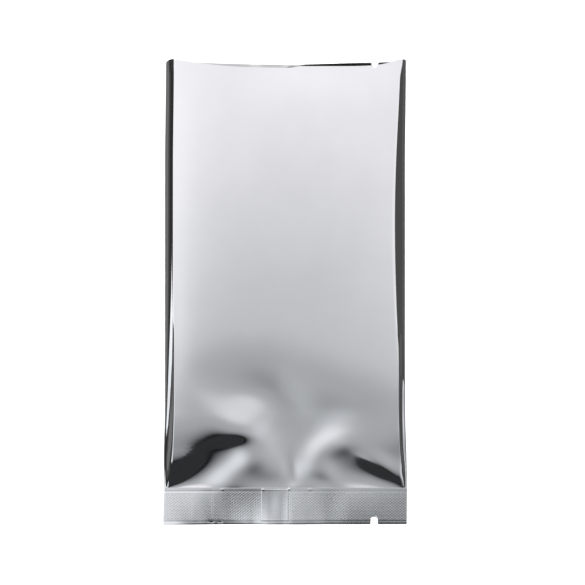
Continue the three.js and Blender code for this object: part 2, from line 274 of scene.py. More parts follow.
def gentle(t):
    """As ease, but turning sooner."""
    s = np.clip(t, 0, 1)
    return s * s * (3 - 2 * s)


def bell(t):
    return np.exp(-t * t)


def quarter_round(t):
    """Height of a rounding of height 1 at the share t of its width."""
    rest = 1 - np.clip(t, 0, 1)
    return np.sqrt(1 - rest * rest)


def above_seam(y):
    return np.maximum(y - SEAM_LINE, 0)


def half_width(y):
    narrowing = BAND_HALF_WIDTH - TUBE_HALF_WIDTH
    return BAND_HALF_WIDTH - narrowing * ease(above_seam(y) / WIDTH_OPENING)


def mouth_pinch(y, loss):
    """The side folds are pressed narrower just at the mouth."""
    return 1 - loss * gentle(1 - (HALF_LENGTH - y) / MOUTH_PINCH_REACH)


def right_roll(y):
    swell = RIGHT_ROLL_SWELL * bell((y - RIGHT_ROLL_CENTRE) / RIGHT_ROLL_REACH)
    return (RIGHT_ROLL + swell) * mouth_pinch(y, RIGHT_MOUTH_PINCH)


def back_roll(side, y):
    """Width of the rounding under a side fold; side is below 0 on the left."""
    full = np.where(side < 0, LEFT_ROLL, right_roll(y))
    share = BAND_ROLL_SHARE + (1 - BAND_ROLL_SHARE) * ease(above_seam(y) / ROLL_OPENING)
    return full * share


def left_fold(y):
    """Width of the fold at the very edge on the left."""
    grown = gentle(above_seam(y) / LEFT_FOLD_OPENING)
    share = LEFT_FOLD_SHARE + (1 - LEFT_FOLD_SHARE) * grown
    return LEFT_ROLL * share * mouth_pinch(y, LEFT_MOUTH_PINCH)


def left_ledge(y):
    """Share of the rise that the ramp beside the left ledge makes."""
    return LEFT_LEDGE * (1 - gentle((above_seam(y) - LEFT_LEDGE_LEVEL) / LEFT_LEDGE_FADE))


def right_ledge(y):
    return 1 - gentle((above_seam(y) - RIGHT_LEDGE_LEVEL) / RIGHT_LEDGE_FADE)


def ramp_ends(at_seam, above, up):
    """Where a ramp starts and ends at this height above the seam."""
    grown = gentle(up / CORNER_RISE)
    return [low + (high - low) * grown for low, high in zip(at_seam, above)]


def left_rounding(from_fold, inset, y):
    up = above_seam(y)
    start, end = ramp_ends(LEFT_SEAM_RAMP, LEFT_RAMP, up)
    start = start + RAMP_DRIFT * gentle((up - RAMP_DRIFT_FROM) / RAMP_DRIFT_LENGTH)
    ramp = gentle((from_fold - start) / np.maximum(end - start, LEAST_RAMP))
    fold = quarter_round((from_fold - inset) / np.maximum(left_fold(y) - inset, SLIT))
    return fold + left_ledge(y) * (ramp - fold)


def right_rounding(from_fold, inset, y):
    start, end = ramp_ends(RIGHT_SEAM_RAMP, RIGHT_RAMP, above_seam(y))
    ramp = gentle((from_fold - start) / (end - start))
    inside = from_fold - inset
    fold = quarter_round(inside / np.maximum(RIGHT_FOLD - inset, SLIT))
    roll = quarter_round(inside / np.maximum(right_roll(y) - inset, SLIT))
    stepped = fold + RIGHT_LEDGE * (ramp - fold)
    return roll + right_ledge(y) * (stepped - roll)


def front_rounding(x, y, inset):
    """Share of the front film's rise at x: 0 on a side fold, 1 where the flat begins."""
    from_fold = half_width(y) - np.abs(x)
    left = left_rounding(from_fold, inset, y)
    right = right_rounding(from_fold, inset, y)
    return np.where(x < 0, left, right)


def left_bevel(x, y):
    from_fold = np.maximum(half_width(y) - np.abs(x), 0)
    lean = LEFT_BEVEL_SLOPE * np.minimum(from_fold, LEFT_BEVEL_WIDTH)
    back = gentle((from_fold - LEFT_BEVEL_WIDTH) / LEFT_BEVEL_RETURN)
    height = lean - LEFT_BEVEL_SLOPE * LEFT_BEVEL_WIDTH * back
    return np.where(x < 0, height, 0) * ease(above_seam(y) / ROLL_OPENING)


def back_rounding(x, y, inset):
    from_fold = half_width(y) - inset - np.abs(x)
    return quarter_round(from_fold / np.maximum(back_roll(x, y) - inset, SLIT))


def soft_fold(x, y, middle_x, middle_y, long, wide, turn, rise):
    angle = math.radians(turn)
    along = (x - middle_x) * math.cos(angle) + (y - middle_y) * math.sin(angle)
    across = (y - middle_y) * math.cos(angle) - (x - middle_x) * math.sin(angle)
    return rise * np.exp(-((along / long) ** 2 + (across / wide) ** 2) / 2)


def curl(x, y, centre_x, centre_y, reach_x, reach_y, rise, outer, inner, toward, spread):
    across = (x - centre_x) / reach_x
    along = (y - centre_y) / reach_y
    beyond = (np.hypot(across, along) - 1) * (reach_x + reach_y) / 2
    width = np.where(beyond > 0, outer, inner)
    turned = np.arctan2(along, across) - math.radians(toward)
    turned = (turned + math.pi) % (2 * math.pi) - math.pi
    return rise * np.exp(-((beyond / width) ** 2 + (turned / math.radians(spread)) ** 2) / 2)


def ripples(x, y):
    waves = 1.0
    rows = zip((x, y), (y, x), RIPPLE_LENGTHS, RIPPLE_BENDS, RIPPLE_SWAYS)
    for along, across, length, bend, sway in rows:
        waves = waves * np.sin(along * 2 * math.pi / length + np.sin(across * bend) * sway)
    return waves * soft_fold(x, y, *RIPPLES)


def folds_fade(x, y):
    """The folds die out toward the sides and the seam."""
    fade = ease((half_width(y) - np.abs(x)) / FOLD_FADE)
    return fade * (1 - np.exp(-above_seam(y) / SEAM_REACH))


def front_relief(x, y):
    folds = sum(soft_fold(x, y, *fold)
                for table in (FRONT_FOLDS, FINE_FOLDS) for fold in table.values())
    curls = sum(curl(x, y, *ridge) for ridge in FRONT_CURLS.values())
    return (folds + curls + ripples(x, y)) * folds_fade(x, y)


def hem_drop(x, y):
    """How far the very edge of the band is pressed down."""
    left, right = HEM_WIDTH
    width = left + (right - left) * gentle((x - HEM_WIDENS_FROM) / HEM_WIDENING)
    return HEM_FALL * width * ease((width - y - HALF_LENGTH) / width)


def lip_height(x, y):
    """The plain lip below the knurl."""
    slope = np.interp(x, *np.array(LIP_BEND).T)
    quick, slow = LIP_WAVE_LENGTHS
    wavy = 1 + LIP_WAVE * np.sin(x / quick) * np.sin(x / slow + LIP_WAVE_SHIFT)
    below = np.maximum(KNURL_BOTTOM - y, 0)
    lip = slope * wavy * np.maximum(below - LIP_STEP_WIDTH, 0)
    grown = gentle((x - LIP_STEP_FROM) / LIP_STEP_GROWTH)
    step = LIP_STEP * grown * gentle(below / LIP_STEP_WIDTH)
    return lip - step - hem_drop(x, y)


def band_fall(x):
    """How steeply the band falls at x, at the seam and at the bottom edge."""
    places, at_seam, at_edge = np.array(BAND_BEND).T
    before = np.clip(np.searchsorted(places, x) - 1, 0, len(places) - 2)
    share = gentle((x - places[before]) / (places[before + 1] - places[before]))
    return [steep[before] + share * (steep[before + 1] - steep[before])
            for steep in (at_seam, at_edge)]


def middle_height(x, y):
    """Height of the surface in which the front and back films meet."""
    below_seam = np.maximum(SEAM_LINE - y, 0)
    at_seam, at_edge = band_fall(x)
    fall = below_seam * (at_seam + (at_edge - at_seam) * below_seam / (2 * BAND_DEPTH))
    return SIDE_HEIGHT - fall + np.where(below_seam > 0, lip_height(x, y), 0)


def front_height(x, y, inset=0.0):
    opening = ease(above_seam(y) / FRONT_OPENING)
    seam = SEAM_RISE * (1 - np.exp(-above_seam(y) / SEAM_REACH))
    rise = FILM + FRONT_RISE * opening + seam
    crown = 1 - np.abs(x / half_width(y)) ** DOME_SQUARENESS
    dome = DOME_RISE * opening * bell((y - DOME_CENTRE) / DOME_REACH) * np.maximum(crown, 0)
    edge = np.maximum(rise - inset, SLIT / 2) * front_rounding(x, y, inset)
    return middle_height(x, y) + edge + left_bevel(x, y) + dome + front_relief(x, y)


def back_lip(x, y):
    """The back film's edge turns up on the right of the mouth, and over the fin's root."""
    on_right = ease((x - BACK_LIP_LEFT) / BACK_LIP_FADE)
    rise = LEFT_BACK_LIP_RISE + (BACK_LIP_RISE - LEFT_BACK_LIP_RISE) * on_right
    rise = rise * (1 - ease((x - BACK_LIP_RIGHT) / BACK_LIP_FADE))
    return rise * gentle((y - BACK_LIP_FROM) / BACK_LIP_REACH) + soft_fold(x, y, *ROOT_BUMP)


def back_height(x, y, inset=0.0):
    unopened = 1 - np.minimum(above_seam(y) / BACK_OPENING, 1)
    sink = FILM + (SIDE_HEIGHT - FILM) * (1 - unopened * unopened)
    edge = np.maximum(sink - inset, SLIT / 2) * back_rounding(x, y, inset)
    plain = middle_height(x, y) - edge
    creases = sum(soft_fold(x, y, *fold) for fold in BACK_FOLDS.values()) * folds_fade(x, y)
    nested = np.minimum(front_relief(x, y), 0) * np.exp(-above_seam(y) / NEST_REACH)
    return plain + unopened * (creases + nested) + back_lip(x, y)


def fin_lift(y):
    """How far the back wall is lifted over the fin; on the band the fin hangs below it."""
    return FIN_DROP * ease(above_seam(y) / FIN_LANDING)


def over_fin_height(x, y, inset=0.0):
    return back_height(x, y, inset) + fin_lift(y) * (1 - ease((FIN_EDGE - x) / FIN_BLEND))


def beside_fin_height(x, y, inset=0.0):
    opened = ease(above_seam(y) / SEAM_REACH) if inset > 0 else 1.0
    drop = (FIN_DROP - fin_lift(y)) * (1 - ease((x - FIN_ROOT) / FIN_BLEND))
    return back_height(x, y, inset) - drop * opened


# ---- The mouth's edge ----

def front_recess(x):
    """How far the front film's edge is set back from the corners of the mouth."""
    part = np.minimum(np.abs(x / MOUTH_CORNER), 1)
    left = LEFT_RECESS * (1 - part ** LEFT_SQUARENESS)
    right = RIGHT_RECESS * (1 - part ** RIGHT_SQUARENESS)
    return left + (right - left) * ease(x / RECESS_BLEND)


def back_recess(x):
    """The same for the back film's edge, counted from the side folds."""
    part = np.minimum(np.abs(x / TUBE_HALF_WIDTH), 1)
    return BACK_RECESS * (1 - part ** BACK_SQUARENESS)


def mouth_row(x, y, recess):
    """Where each place of the row y lies, as the rows bend to follow the mouth's edge."""
    share = max(y - (HALF_LENGTH - MOUTH_ZONE), 0) / MOUTH_ZONE
    from_fold = TUBE_HALF_WIDTH + x
    corner = LEFT_CORNER_CUT * np.maximum(1 - np.abs(from_fold) / CORNER_CUT_WIDTH, 0)
    return y - share * (recess(x) + corner * share ** CORNER_CUT_POWER)


# ---- Cross-sections, as rows of [x, y, z] ----

def side_places(side, y, inset):
    """Places across a side, from its fold inward, close together where the film turns."""
    if side < 0:
        fold = float(left_fold(y))
        end = max(fold, LEFT_RAMP[1]) + LEDGE_MARGIN
    else:
        fold = float(right_roll(y) + right_ledge(y) * (RIGHT_FOLD - right_roll(y)))
        end = max(fold, RIGHT_RAMP[1]) + LEDGE_MARGIN
    angles = np.arange(ROLL_STEPS) / ROLL_STEPS * math.pi / 2
    reach = np.concatenate([
        max(fold - inset, SLIT) * (1 - np.cos(angles)),
        np.linspace(max(fold - inset, SLIT), end - inset, LEDGE_STEPS),
    ])
    return side * (half_width(y) - inset - reach)


def back_places(side, y, inset):
    angles = np.arange(1, ROLL_STEPS + 1) / ROLL_STEPS * math.pi / 2
    reach = max(float(back_roll(side, y)) - inset, SLIT) * (1 - np.cos(angles))
    return side * (half_width(y) - inset - reach)


def shifted(x, y):
    """Where x lies when the sides aren't quite straight."""
    at_mouth = MOUTH_SHIFT * gentle((y - MOUTH_SHIFT_FROM) / (HALF_LENGTH - MOUTH_SHIFT_FROM))
    at_seam = SEAM_DRAW * bell((y - SEAM_LINE) / SEAM_DRAW_REACH)
    return x + at_mouth + at_seam * gentle(-x / BAND_HALF_WIDTH)


def points(x, y, z):
    """Rows of [x, y, z], where y may be one number for all."""
    return np.stack([shifted(x, y), y + 0 * x, z], axis=1)


def front_section(row, inset):
    left = side_places(-1, row, inset)
    right = side_places(1, row, inset)
    flat = np.linspace(left[-1], right[-1], FRONT_STEPS + 1)[1:-1]
    x = np.concatenate([left, flat, right[::-1]])
    y = mouth_row(x, row, front_recess)
    return points(x, y, front_height(x, y, inset))


def back_right_section(row, inset, end):
    rounding = back_places(1, row, inset)
    x = np.concatenate([rounding, np.linspace(rounding[-1], end, BACK_STEPS)[1:]])
    y = mouth_row(x, row, back_recess)
    return points(x, y, beside_fin_height(x, y, inset))


def back_left_section(row, inset):
    rounding = back_places(-1, row, inset)
    x = np.concatenate([np.linspace(BEND_INSIDE, rounding[-1], BACK_STEPS)[:-1], rounding[::-1]])
    y = mouth_row(x, row, back_recess)
    return points(x, y, over_fin_height(x, y, inset))


def fin_section(row):
    bottom = np.linspace(FIN_ROOT, FIN_EDGE, FIN_STEPS + 1)
    top = np.linspace(FIN_EDGE, BEND_INSIDE, FIN_STEPS + 1)
    x = np.concatenate([bottom, top, [BEND_TIP]])
    y = mouth_row(x, row, back_recess)
    wall = back_height(0 * x, row) - back_lip(0 * x, row) + back_lip(x, y)
    under = wall - FIN_DROP + fin_lift(row)
    lifts = np.concatenate([0 * bottom, 0 * top + FIN_TOP, [FIN_TOP + FIN_GAP / 2]])
    return points(x, y, under + lifts)


def outer_sections(row):
    beside = FIN_ROOT + FIN_BLEND / 2
    front_and_right = np.concatenate([front_section(row, 0.0),
                                      back_right_section(row, 0.0, beside)])
    return front_and_right, fin_section(row), back_left_section(row, 0.0)


def inner_sections(row):
    beside = FIN_ROOT + FIN_TOP + FILM
    front_and_right = np.concatenate([front_section(row, FILM),
                                      back_right_section(row, FILM, beside)])
    return front_and_right, back_left_section(row, FILM)


# ---- Meshes ----

SHARP_ANGLE = 50.0  # edges that turn more than this stay sharp


def mesh_object(name, vertices, faces, materials, face_materials=None):
    mesh = bpy.data.meshes.new(name)
    mesh.from_pydata([tuple(v) for v in np.asarray(vertices) * MM], [], faces)
    for material in materials:
        mesh.materials.append(material)
    if face_materials is not None:
        mesh.polygons.foreach_set("material_index", face_materials)
    mesh.update()
    piece = bpy.data.objects.new(name, mesh)
    bpy.context.scene.collection.objects.link(piece)
    return piece


def smooth(piece, sharp_above):
    piece.data.polygons.foreach_set("use_smooth", [True] * len(piece.data.polygons))
    piece.data.set_sharp_from_angle(angle=math.radians(sharp_above))


def wall_faces(first, loop_size, rows, inward):
    """Quads that join each loop of a grid of corner numbers to the next."""
    column = np.arange(loop_size)
    following = (column + 1) % loop_size
    faces = []
    for row in range(rows - 1):
        near = first + row * loop_size
        far = near + loop_size
        quad = [near + column, near + following, far + following, far + column]
        if inward:
            quad = quad[::-1]
        faces.extend(np.stack(quad, axis=1).tolist())
    return faces


def rim_faces(outer_rim, inner_rim, front_and_right, fin, left):
    """Joins the edges of the outer and inner faces at the mouth, and closes the fin's end."""
    first = [(outer_rim + k, inner_rim + k) for k in range(front_and_right)]
    outer_left = outer_rim + front_and_right + fin
    inner_left = inner_rim + front_and_right
    second = [(outer_left + k, inner_left + k) for k in range(left)] + first[:1]
    faces = []
    for strip in (first, second):
        for (a, b), (c, d) in zip(strip, strip[1:]):
            faces.append([a, c, d, b])
    fin_end = list(range(outer_rim + front_and_right - 1, outer_left + 1))
    faces.append(fin_end + [inner_left, inner_left - 1])
    return faces


def tube_rows(counts):
    folds = np.linspace(SEAM_LINE, SEAM_LINE + FOLD_ZONE, counts["folds"])
    plain = np.linspace(SEAM_LINE + FOLD_ZONE, HALF_LENGTH - MOUTH_ZONE, counts["plain"])[1:]
    mouth = np.linspace(0, 1, counts["mouth"])[1:]
    crowded = HALF_LENGTH - MOUTH_ZONE * (1 - mouth) ** MOUTH_CROWDING
    return np.concatenate([folds, plain, crowded])


def film_tube(outside_film, inside_film):
    """The web of film with its side folds and fin, from the band to the mouth."""
    band = np.linspace(-HALF_LENGTH, SEAM_LINE, OUTER_ROWS["band"])[:-1]
    outer = [outer_sections(row) for row in np.concatenate([band, tube_rows(OUTER_ROWS)])]
    inner = [inner_sections(row) for row in tube_rows(INNER_ROWS)]
    counts = [len(section) for section in outer[0]]
    outer_size = sum(counts)
    inner_size = counts[0] + counts[2]
    inner_first = len(outer) * outer_size
    outside = wall_faces(0, outer_size, len(outer), False)
    inside = wall_faces(inner_first, inner_size, len(inner), True)
    rim = rim_faces((len(outer) - 1) * outer_size, inner_first + (len(inner) - 1) * inner_size,
                    *counts)
    bottom = [list(range(outer_size))[::-1]]
    slit = [list(range(inner_first, inner_first + inner_size))]
    faces = outside + inside + rim + bottom + slit
    slots = [0] * len(outside) + [1] * len(inside) + [0] * (len(rim) + 2)
    corners = [section for row in outer + inner for section in row]
    return mesh_object("film_tube", np.concatenate(corners), faces,
                       [outside_film, inside_film], slots)


# ---- Nodes ----

def node(tree, kind, **settings):
    made = tree.nodes.new(kind)
    for name, value in settings.items():
        setattr(made, name, value)
    return made


def give(tree, socket, value):
    """Sets a socket to a number or links it to an output."""
    if isinstance(value, bpy.types.NodeSocket):
        tree.links.new(value, socket)
    else:
        socket.default_value = value


def math_node(tree, operation, *values):
    """A Math node; each value is a number or an output socket."""
    made = node(tree, "ShaderNodeMath", operation=operation)
    for socket, value in zip(made.inputs, values):
        give(tree, socket, value)
    return made.outputs[0]


def step_node(tree, value, low, high, kind="SMOOTHERSTEP"):
    """0 where the value is low and beyond, 1 where it is high and beyond, smooth between."""
    made = node(tree, "ShaderNodeMapRange", interpolation_type=kind)
    made.inputs["From Min"].default_value = low
    made.inputs["From Max"].default_value = high
    tree.links.new(value, made.inputs["Value"])
    return made.outputs["Result"]


def blend_node(tree, share, first, second):
    """first where the share is 0, second where it is 1."""
    made = node(tree, "ShaderNodeMix", data_type="FLOAT")
    for place, value in ((0, share), (2, first), (3, second)):
        give(tree, made.inputs[place], value)
    return made.outputs[0]


# ---- Knurl of the seal band ----

def knurl_tree(material):
    """A thin plate with diamonds raised on both faces, plain over the fin and the edges."""
    tree = bpy.data.node_groups.new("pressed_knurl", "GeometryNodeTree")
    sizes = [("Width", 1.0), ("Length", 1.0), ("Thickness", 1.0), ("Middle", 0.0),
             ("Repeat Across", KNURL_ACROSS), ("Repeat Along", KNURL_ALONG),
             ("Depth", KNURL_DEPTH), ("Wear", KNURL_WEAR), ("Wear Scale", KNURL_WEAR_SCALE),
             ("Edge", BAND_EDGE),
             ("Knurl Bottom", KNURL_BOTTOM), ("Knurl Top", KNURL_TOP),
             ("Fin Left", FIN_EDGE), ("Fin Right", FIN_ROOT - FIN_PRINT_INSET),
             ("Fin Top", FIN_PRINT_TOP), ("Fin Swell", FIN_SWELL), ("Fin Ridge", FIN_RIDGE)]
    for name, value in sizes:
        socket = tree.interface.new_socket(name, in_out="INPUT", socket_type="NodeSocketFloat")
        socket.default_value = value
    for name in ("Across", "Along"):
        tree.interface.new_socket(name, in_out="INPUT", socket_type="NodeSocketInt")
    tree.interface.new_socket("Geometry", in_out="OUTPUT", socket_type="NodeSocketGeometry")
    given = node(tree, "NodeGroupInput").outputs

    size = node(tree, "ShaderNodeCombineXYZ")
    for axis, name in zip("XYZ", ("Width", "Length", "Thickness")):
        tree.links.new(given[name], size.inputs[axis])
    plate = node(tree, "GeometryNodeMeshCube")
    tree.links.new(size.outputs[0], plate.inputs["Size"])
    tree.links.new(given["Across"], plate.inputs["Vertices X"])
    tree.links.new(given["Along"], plate.inputs["Vertices Y"])

    place = node(tree, "ShaderNodeSeparateXYZ")
    tree.links.new(node(tree, "GeometryNodeInputPosition").outputs[0], place.inputs[0])
    x, centred_y, z = place.outputs
    y = math_node(tree, "ADD", centred_y, given["Middle"])
    repeats_x = math_node(tree, "DIVIDE", x, given["Repeat Across"])
    repeats_y = math_node(tree, "DIVIDE", centred_y, given["Repeat Along"])
    one_way = math_node(tree, "PINGPONG", math_node(tree, "ADD", repeats_x, repeats_y), 0.5)
    other_way = math_node(tree, "PINGPONG", math_node(tree, "SUBTRACT", repeats_x, repeats_y),
                          0.5)
    diamond = math_node(tree, "MULTIPLY", math_node(tree, "MINIMUM", one_way, other_way), 2.0)

    above = math_node(tree, "SUBTRACT", y, given["Knurl Bottom"])
    below = math_node(tree, "SUBTRACT", given["Knurl Top"], y)
    half = math_node(tree, "SUBTRACT", math_node(tree, "MULTIPLY", given["Width"], 0.5),
                     given["Edge"])
    beside = math_node(tree, "SUBTRACT", half, math_node(tree, "ABSOLUTE", x))
    off_left = math_node(tree, "SUBTRACT", x, given["Fin Left"])
    off_right = math_node(tree, "SUBTRACT", given["Fin Right"], x)
    on_fin = math_node(tree, "MINIMUM", off_left, off_right)
    in_band = math_node(tree, "MINIMUM", math_node(tree, "MINIMUM", above, below), beside)
    knurled = math_node(tree, "MINIMUM", in_band, math_node(tree, "MULTIPLY", on_fin, -1.0))
    under_fin_top = math_node(tree, "SUBTRACT", given["Fin Top"], y)
    fin = math_node(tree, "MINIMUM", math_node(tree, "MINIMUM", above, under_fin_top), on_fin)
    worn = node(tree, "ShaderNodeTexNoise")
    tree.links.new(given["Wear Scale"], worn.inputs["Scale"])
    where_worn = step_node(tree, worn.outputs[0], *KNURL_WEAR_RANGE, "SMOOTHSTEP")
    faint = math_node(tree, "MULTIPLY", where_worn, given["Wear"])
    depth = math_node(tree, "MULTIPLY", given["Depth"], math_node(tree, "SUBTRACT", 1.0, faint))
    kept = step_node(tree, knurled, 0.0, KNURL_FADE, "SMOOTHSTEP")
    pressed = math_node(tree, "MULTIPLY", math_node(tree, "MULTIPLY", diamond, depth), kept)
    over_fin = step_node(tree, fin, -FIN_RIDGE_WIDTH, FIN_RIDGE_WIDTH, "SMOOTHSTEP")
    swell = math_node(tree, "MULTIPLY", over_fin, given["Fin Swell"])
    at_edge = step_node(tree, math_node(tree, "ABSOLUTE", fin), FIN_RIDGE_WIDTH, 0.0, "SMOOTHSTEP")
    ridge = math_node(tree, "MULTIPLY", at_edge, given["Fin Ridge"])
    raised = math_node(tree, "ADD", pressed, math_node(tree, "ADD", swell, ridge))
    shift = node(tree, "ShaderNodeCombineXYZ")
    tree.links.new(math_node(tree, "MULTIPLY", raised, math_node(tree, "SIGN", z)),
                   shift.inputs["Z"])
    tree.links.new(given["Middle"], shift.inputs["Y"])
    pressing = node(tree, "GeometryNodeSetPosition")
    tree.links.new(plate.outputs["Mesh"], pressing.inputs["Geometry"])
    tree.links.new(shift.outputs[0], pressing.inputs["Offset"])

    real = node(tree, "GeometryNodeRealizeInstances")
    painted = node(tree, "GeometryNodeSetMaterial")
    painted.inputs["Material"].default_value = material
    tree.links.new(pressing.outputs[0], real.inputs[0])
    tree.links.new(real.outputs[0], painted.inputs[0])
    tree.links.new(painted.outputs[0], node(tree, "NodeGroupOutput").inputs[0])
    return tree


def made_by_nodes(name, tree, values):
    """Runs a Geometry Nodes tree with these inputs and returns the result as a plain mesh."""
    source = bpy.data.objects.new(name + "_source", bpy.data.meshes.new(name + "_source"))
    bpy.context.scene.collection.objects.link(source)
    modifier = source.modifiers.new("pattern", "NODES")
    modifier.node_group = tree
    identifiers = {item.name: item.identifier for item in tree.interface.items_tree
                   if item.item_type == "SOCKET" and item.in_out == "INPUT"}
    for key, value in values.items():
        modifier[identifiers[key]] = value
    graph = bpy.context.evaluated_depsgraph_get()
    mesh = bpy.data.meshes.new_from_object(source.evaluated_get(graph))
    bpy.data.objects.remove(source)
    piece = bpy.data.objects.new(name, mesh)
    bpy.context.scene.collection.objects.link(piece)
    return piece


def seam_groove(x, y):
    """The line that the jaws leave above the knurl."""
    place, width, depth = SEAM_GROOVE
    faint = 1 - (1 - GROOVE_FAINT) * gentle((x - GROOVE_LEFT) / GROOVE_FADE)
    return -depth * faint * bell((y - place) / width)


def seal_band(material):
    """The knurled band, bent to the film's shape, with its seam line and pinched spots.

    The diamonds are stretched a little so that whole ones fill the plate.
    """
    width = 2 * (BAND_HALF_WIDTH + BAND_OVERHANG)
    bottom = -HALF_LENGTH - BAND_OVERHANG
    length = BAND_PLATE_TOP - bottom
    across = round(width / KNURL_ACROSS)
    along = round(length / KNURL_ALONG)
    values = {"Width": width, "Length": length, "Thickness": 2 * (FILM + BAND_OVERHANG),
              "Middle": bottom + length / 2, "Across": across * BAND_STEPS + 1,
              "Along": along * BAND_STEPS + 1, "Repeat Across": width / across,
              "Repeat Along": length / along}
    piece = made_by_nodes("seal_band", knurl_tree(material), values)
    places = np.zeros(len(piece.data.vertices) * 3)
    piece.data.vertices.foreach_get("co", places)
    x, y, z = places.reshape(-1, 3).T
    pressed = sum(soft_fold(x, y, *pinch) for pinch in PINCHES.values()) + seam_groove(x, y)
    bent = points(x, y, z + middle_height(x, y) + pressed * np.sign(z))
    piece.data.vertices.foreach_set("co", (bent * MM).ravel())
    piece.data.update()
    return piece


# ---- Tear notches ----

MOUTH_NOTCH_SHARES = (-1.0, -1 / 3, 0.2, 1.0, 1.1)  # its corners, as shares of half its width
MOUTH_NOTCH_LIFT = 0.1  # how much higher the right end of its tip is
CUT_BOTTOM = -1.0
CUT_TOP = 12.0
CUT_OVERRUN = 2.0
ROUNDING_STEPS = 6


def band_notch_outline():
    """A slot with rounded corners, cut in from the bottom edge."""
    half = BAND_NOTCH_WIDTH / 2
    low = -HALF_LENGTH - CUT_OVERRUN
    corner_y = BAND_NOTCH_DEPTH - HALF_LENGTH - BAND_NOTCH_ROUNDING
    outline = [(NOTCH_CENTRE - half, low), (NOTCH_CENTRE + half, low)]
    for side, start in ((1, 0), (-1, 90)):
        corner_x = NOTCH_CENTRE + side * (half - BAND_NOTCH_ROUNDING)
        for k in range(ROUNDING_STEPS + 1):
            angle = math.radians(start + 90 * k / ROUNDING_STEPS)
            outline.append((corner_x + BAND_NOTCH_ROUNDING * math.cos(angle),
                            corner_y + BAND_NOTCH_ROUNDING * math.sin(angle)))
    return outline


def mouth_notch_outline():
    """A V with a narrow flat tip, steep on its left and slanting on its right."""
    tip = HALF_LENGTH - MOUTH_NOTCH_TIP
    beyond = HALF_LENGTH + CUT_OVERRUN
    heights = (beyond, tip, tip + MOUTH_NOTCH_LIFT, tip + MOUTH_NOTCH_TIP / 2, beyond)
    return [(NOTCH_CENTRE + share * MOUTH_NOTCH_WIDTH / 2, y)
            for share, y in zip(MOUTH_NOTCH_SHARES, heights)]


def cut(piece, outline):
    """Cuts an upright prism of this outline out of the piece."""
    turned = sum(a[0] * b[1] - b[0] * a[1] for a, b in zip(outline, outline[1:] + outline[:1]))
    if turned < 0:
        outline = outline[::-1]
    count = len(outline)
    corners = [(x, y, z) for z in (CUT_BOTTOM, CUT_TOP) for x, y in outline]
    faces = [list(range(count))[::-1], list(range(count, 2 * count))]
    for k in range(count):
        after = (k + 1) % count
        faces.append([k, after, count + after, count + k])
    cutter = mesh_object("cutter", corners, faces, [piece.data.materials[0]])
    modifier = piece.modifiers.new("notch", "BOOLEAN")
    modifier.operation = "DIFFERENCE"
    modifier.solver = "MANIFOLD"
    modifier.object = cutter
    graph = bpy.context.evaluated_depsgraph_get()
    mesh = bpy.data.meshes.new_from_object(piece.evaluated_get(graph))
    piece.modifiers.remove(modifier)
    piece.data = mesh
    bpy.data.objects.remove(cutter)


# ---- Materials ----

GRAIN_SQUASH = 0.35  # the grain is drawn out along the web
GRAIN_DETAIL = 3.0
CLOUD_SCALE = 60.0  # of the patches of dull and bright film
CLOUD_DETAIL = 6.0
CLOUD_RANGE = (0.3, 0.7)
DULL_SHARE = 0.96  # share of its brightness that the film has in a dull patch


def film_material(name, tint, roughness, roughness_swing, grain, grain_depth):
    """Metallized film: a mirror with a faint grain along the web and uneven gloss."""
    material = bpy.data.materials.new(name)
    material.use_nodes = True
    tree = material.node_tree
    shader = tree.nodes["Principled BSDF"]
    shader.inputs["Metallic"].default_value = 1.0
    shader.inputs["Specular Tint"].default_value = (1.0, 1.0, 1.0, 1.0)
    place = node(tree, "ShaderNodeTexCoord")
    stretched = node(tree, "ShaderNodeMapping")
    stretched.inputs["Scale"].default_value = (1.0, GRAIN_SQUASH, 1.0)
    tree.links.new(place.outputs["Object"], stretched.inputs["Vector"])

    cloud = node(tree, "ShaderNodeTexNoise")
    cloud.inputs["Scale"].default_value = CLOUD_SCALE
    cloud.inputs["Detail"].default_value = CLOUD_DETAIL
    tree.links.new(place.outputs["Object"], cloud.inputs["Vector"])
    gloss = node(tree, "ShaderNodeMapRange")
    gloss.inputs["To Min"].default_value = roughness
    gloss.inputs["To Max"].default_value = roughness + roughness_swing
    tree.links.new(cloud.outputs["Fac"], gloss.inputs["Value"])
    tree.links.new(gloss.outputs["Result"], shader.inputs["Roughness"])

    shades = node(tree, "ShaderNodeValToRGB")
    for element, position, share in zip(shades.color_ramp.elements, CLOUD_RANGE,
                                        (DULL_SHARE, 1.0)):
        element.position = position
        element.color = (*[c * share for c in tint], 1.0)
    tree.links.new(cloud.outputs["Fac"], shades.inputs["Fac"])
    tree.links.new(shades.outputs["Color"], shader.inputs["Base Color"])

    fine = node(tree, "ShaderNodeTexNoise")
    fine.inputs["Scale"].default_value = grain
    fine.inputs["Detail"].default_value = GRAIN_DETAIL
    tree.links.new(stretched.outputs["Vector"], fine.inputs["Vector"])
    bump = node(tree, "ShaderNodeBump")
    bump.inputs["Strength"].default_value = 1.0
    bump.inputs["Distance"].default_value = grain_depth * MM
    tree.links.new(fine.outputs["Fac"], bump.inputs["Height"])
    tree.links.new(bump.outputs["Normal"], shader.inputs["Normal"])
    return material


# ---- Studio ----

PHOTO_SIZE = 585
PHOTO_SCALE = 2.826  # pixels of the photo per millimetre of the bag
CAMERA_X = 2.65
CAMERA_Y = 0.0
CAMERA_HEIGHT = 620.0
SENSOR = 36.0
CLIP_END = 20.0  # metres


def srgb_to_linear(level):
    c = level / 255
    return c / 12.92 if c <= 0.04045 else ((c + 0.055) / 1.055) ** 2.4


